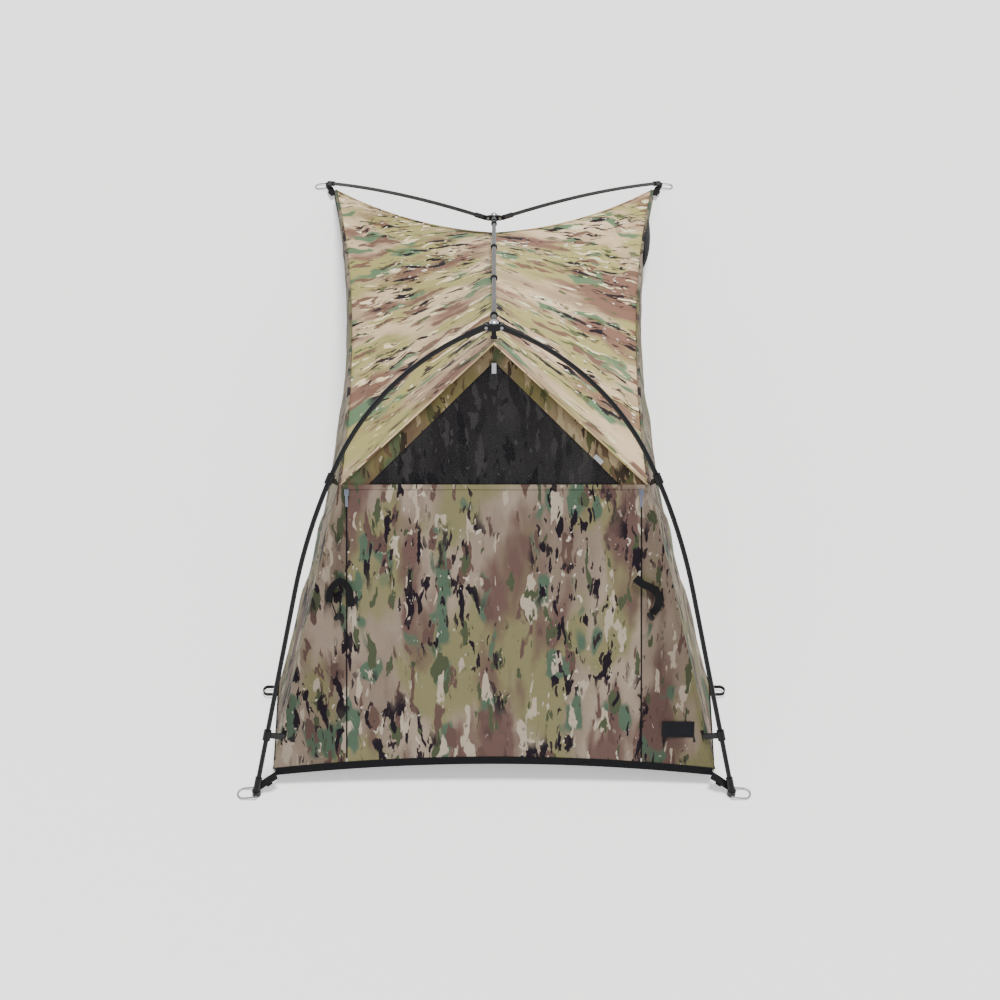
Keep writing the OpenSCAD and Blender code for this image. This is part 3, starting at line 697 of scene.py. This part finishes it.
def zip_piece(name, start, end, width, side_name, side, spine_share, replaced):
    """A closed zip on the front wall from start to end, each (x, q): a tape with a row of teeth."""
    start, end = np.array(start), np.array(end)
    xq = mix(start, end, col(np.linspace(0, 1, 80)))
    line = on_wall(xq[:, 0], xq[:, 1], -0.0022)
    d = unit(end - start)
    across = on_wall(-d[1], d[0]) - on_wall(0, 0)
    tape = strip(name + "_tape", line, across, width, 0.0, TAPE, side, thickness=0.001)
    attach(tape, side_name, spine_share, replaced)

    along = unit(line[-1] - line[0])
    verts, faces, uvs = [], [], []
    for k in range(int(math.hypot(*(end - start)) / TOOTH_PITCH)):
        centre = line[0] + along * (k + 0.5) * TOOTH_PITCH + WALL_N * 0.0008
        base = len(verts)
        for i in range(TOOTH_SIDES):
            angle = i * math.pi / 3
            rim = (across * TOOTH_R * 1.3 * math.cos(angle)
                   + WALL_N * TOOTH_R * 0.8 * math.sin(angle))
            for end_share in (-0.32, 0.32):
                verts.append((centre + rim + along * TOOTH_PITCH * end_share) * [side, 1, 1])
                uvs.append((k * TOOTH_PITCH, 0.0))
        for i in range(TOOTH_SIDES):
            j = (i + 1) % TOOTH_SIDES
            faces.append([base + 2 * i, base + 2 * j, base + 2 * j + 1, base + 2 * i + 1])
        faces.append([base + 2 * i for i in reversed(range(TOOTH_SIDES))])
        faces.append([base + 2 * i + 1 for i in range(TOOTH_SIDES)])
    coil = new_mesh(name + "_coil", verts, faces, uvs, FINISH["plastic"], False)
    attach(coil, side_name, spine_share, [])


def zips(side_name, side):
    """Door zip, and the window zip up to the apex."""
    zip_piece(f"{side_name}_door_zip", (DOOR_LOW, 0.073), (DOOR_TOP, 0.713), 0.014,
              side_name, side, False, [f"{side_name}_door_zip"])
    zip_piece(f"{side_name}_window_zip", (MESH_X, 0.727), (0.006, 0.996), 0.012,
              side_name, side, True, ["window_zip"])


for side_name, side in SIDES:
    for make in (roof, side_wall, front_wing, door, mesh_window, window_border, rear_panel,
                 hems, roof_edges, front_seams, zips):
        make(side_name, side)


# ---------------------------------------------------------------- tiebacks, label and vent cover
def ribbon(name, path, width, side_name, side, replaced):
    """A webbing band along smoothed (x, q, out) points on the front wall."""
    path = np.array(path, float)
    s = np.linspace(0, len(path) - 1, 12 * len(path))
    k = np.clip(np.floor(s).astype(int), 0, len(path) - 2)
    f = (s - k)[:, None]
    a, b = path[k], path[k + 1]
    before, after = path[np.maximum(k - 1, 0)], path[np.minimum(k + 2, len(path) - 1)]
    line = 0.5 * (2 * a + (b - before) * f + (2 * before - 5 * a + 4 * b - after) * f**2
                  + (3 * a - before - 3 * b + after) * f**3)
    pts = on_wall(line[:, 0], line[:, 1], line[:, 2])
    across = unit(np.cross(np.broadcast_to(WALL_N, pts.shape), np.gradient(pts, axis=0)))
    obj = strip(name, pts, across, width, 0.0, STRAP, side, thickness=0.0022)
    attach(obj, side_name, False, replaced)


def rod(name, start, end, radius, material, side_name, side):
    """A rod with eased ends between two (x, q, out) points on the front wall."""
    rounds = 14
    a, b = on_wall(*start), on_wall(*end)
    d = unit(b - a)
    e1 = unit(np.cross(d, [0.3, 0.9, 0.2]))
    e2 = np.cross(d, e1)
    stations = [(0.0, 0.55), (0.12, 0.92), (0.25, 1.0), (0.75, 1.0), (0.88, 0.92), (1.0, 0.55)]
    verts, faces = [], []
    for at, size in stations:
        for i in range(rounds):
            w = 2 * math.pi * i / rounds
            rim = radius * size * (e1 * math.cos(w) + e2 * math.sin(w))
            verts.append((mix(a, b, at) + rim) * [side, 1, 1])
    for k in range(len(stations) - 1):
        for i in range(rounds):
            j = (i + 1) % rounds
            faces.append([k * rounds + i, k * rounds + j, (k + 1) * rounds + j, (k + 1) * rounds + i])
    faces += [list(range(rounds))[::-1], [(len(stations) - 1) * rounds + i for i in range(rounds)]]
    obj = new_mesh(name, verts, faces, [(v[0], v[2]) for v in verts], material)
    attach(obj, side_name, False, [])


# The left band hangs in an arch, the right one trails in an S
ribbon("left_tieback_band",
       [(0.372, 0.450, 0.006), (0.367, 0.480, 0.010), (0.346, 0.500, 0.0125), (0.327, 0.482, 0.011),
        (0.322, 0.440, 0.008)], 0.015, "left", -1, ["left_tieback"])
ribbon("right_tieback_band",
       [(0.318, 0.508, 0.0105), (0.334, 0.494, 0.0125), (0.356, 0.483, 0.011), (0.371, 0.464, 0.009),
        (0.369, 0.440, 0.008), (0.358, 0.424, 0.006)], 0.017, "right", 1, ["right_tieback"])
for side_name, side in SIDES:
    rod(f"{side_name}_tieback_tab", (0.366, 0.470, 0.002), (0.366, 0.486, 0.009), 0.006,
        STRAP, side_name, side)
    rod(f"{side_name}_tieback_toggle", (0.348, 0.424, 0.006), (0.360, 0.408, 0.006), 0.0055,
        FINISH["plastic"], side_name, side)
    rod(f"{side_name}_tieback_cord", (0.366, 0.450, 0.007), (0.355, 0.414, 0.007), 0.0014,
        STRAP, side_name, side)


def label_patch():
    """Blank label on the lower right wing."""
    a, b = params(12, 8)
    x, q = mix(0.386, 0.460, a), mix(0.126, 0.164, b)
    pts = on_wall(x, q, 0.0032 + 0.0008 * hump(a) * hump(b))
    patch = grid("label_patch", pts, np.stack([x, q], -1), PATCH, 1, 0.0018)
    attach(patch, "right", False, [])


def vent_cover():
    """Black lens-shaped cover that stands out from the right wall near its rear corner."""
    a, b = params(24, 12)
    cover = wall_pt(mix(0.79, 0.915, a), 0.5 + 0.8 * (b - 0.5) * np.sqrt(hump(a)))
    cover[..., 0] += 0.002 + 0.015 * hump(b) * hump(a**0.7)
    vent = grid("right_wall_vent", cover, np.stack([a * 0.24, b * 0.08], -1), PATCH, 1, 0.0015)
    attach(vent, "right", False, [])


label_patch()
vent_cover()

# ---------------------------------------------------------------- CAD nodes that stay
for name, obj in frame["nodes"].items():
    obj.data.materials.clear()
    obj.data.materials.append(FINISH[SLOT_OF[name]])

# ---------------------------------------------------------------- floor, light and camera
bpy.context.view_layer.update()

FLOOR_HALF, FLOOR_Z = 90, -0.001
floor_net = Net("floor_pale", lin(251, 251, 251), 0.9)
floor_at = floor_net.coords("Object")
floor_net.set("Emission Color", (1, 1, 1, 1))
floor_net.set("Emission Strength", 0.45)
floor_net.bump(floor_net.noise(floor_at, (30, 30, 30), (0, 0, 0), 3), 0.0005, 0.1)
floor_corners = [(x * FLOOR_HALF, y * FLOOR_HALF, FLOOR_Z) for x, y in ((-1, -1), (1, -1), (1, 1), (-1, 1))]
floor = new_mesh("floor", floor_corners, [(0, 1, 2, 3)], None, floor_net.mat, False)

world = bpy.data.worlds.new("pale_sky")
bpy.context.scene.world = world
world.use_nodes = True
sky = world.node_tree.nodes["Background"]
sky.inputs["Color"].default_value = (0.96, 0.98, 1.0, 1)
sky.inputs["Strength"].default_value = 0.66


def lamp(name, kind, energy, location, target, size, colour):
    """A light aimed at target; size is degrees for a sun and metres for an area."""
    data = bpy.data.lights.new(name, kind)
    data.energy, data.color = energy, colour
    if kind == "SUN":
        data.angle = math.radians(size)
    else:
        data.size = size
    obj = bpy.data.objects.new(name, data)
    obj.location = location
    obj.rotation_mode = "QUATERNION"
    obj.rotation_quaternion = (Vector(target) - Vector(location)).to_track_quat("-Z", "Y")
    bpy.context.scene.collection.objects.link(obj)

lamp("key", "SUN", 3.9, (0.45, 0.5, 4.0), (0, 0, 0), 16, (1.0, 0.975, 0.94))
lamp("fill", "AREA", 18, (-1.5, -4.0, 3.0), (0, -0.6, 0.4), 2.5, (0.95, 0.97, 1.0))

CAMERA_DOWN = 44.8
camera = bpy.data.cameras.new("camera")
camera.sensor_width, camera.lens, camera.shift_x = 36, 61.2, 0.006
camera.clip_start, camera.clip_end = 0.05, 100
cam = bpy.data.objects.new("camera", camera)
cam.location = (0, -3.53, 3.25)
cam.rotation_euler = (math.radians(90 - CAMERA_DOWN), 0, 0)
bpy.context.scene.collection.objects.link(cam)
bpy.context.scene.camera = cam
